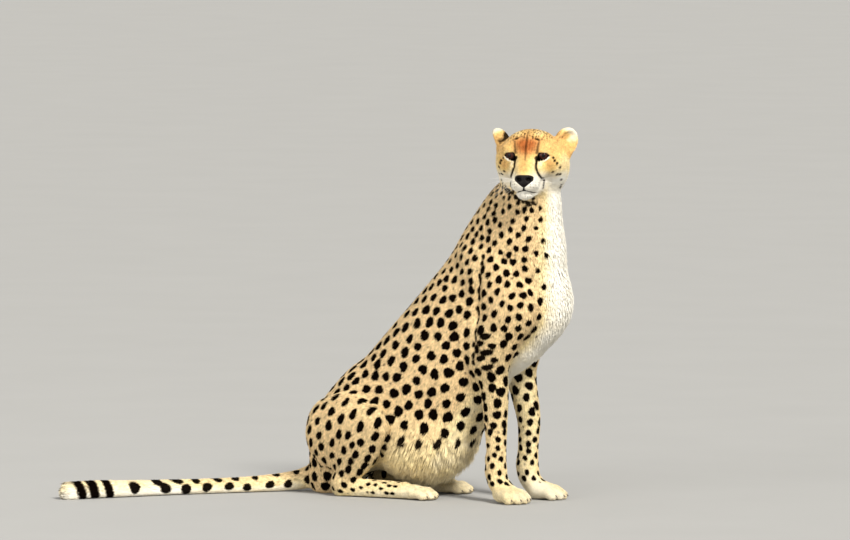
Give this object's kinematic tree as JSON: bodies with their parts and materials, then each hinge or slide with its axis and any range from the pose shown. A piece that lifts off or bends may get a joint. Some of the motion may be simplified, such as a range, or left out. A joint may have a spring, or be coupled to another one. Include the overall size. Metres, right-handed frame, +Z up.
{
  "type": "sitting cheetah",
  "caption": "Life-size still model of a cheetah sitting upright, head turned aside and long tail laid out behind, in a short spotted coat.",
  "frame": {"origin": "under the middle of the whole animal, tail included, on the plane it sits on", "axes": "+X towards the animal's front, +Y towards its left, +Z up"},
  "size_m": [1.165, 0.6622, 0.9373],
  "materials": {
    "coat_tan": "short tan fur with black spots",
    "coat_cream": "paler, longer fur with faded spots",
    "coat_black": "black and white banded fur",
    "nose_leather": "damp dark leather",
    "eye": "wet amber eye with a round pupil"
  },
  "bodies": {
    "root": {"head": "coat_tan", "neck": "coat_tan", "chest": "coat_tan", "belly": "coat_cream", "ear_left": "coat_black", "ear_right": "coat_black", "nose": "nose_leather", "eye_left": "eye", "eye_right": "eye", "foreleg_left": "coat_tan", "foreleg_right": "coat_tan", "forepaw_left": "coat_tan", "forepaw_right": "coat_tan", "thigh_left": "coat_tan", "thigh_right": "coat_tan", "hindfoot_left": "coat_tan", "hindfoot_right": "coat_tan", "tail_base": "coat_tan", "tail_middle": "coat_tan", "tail_tip": "coat_black"}
  },
  "joints": []
}
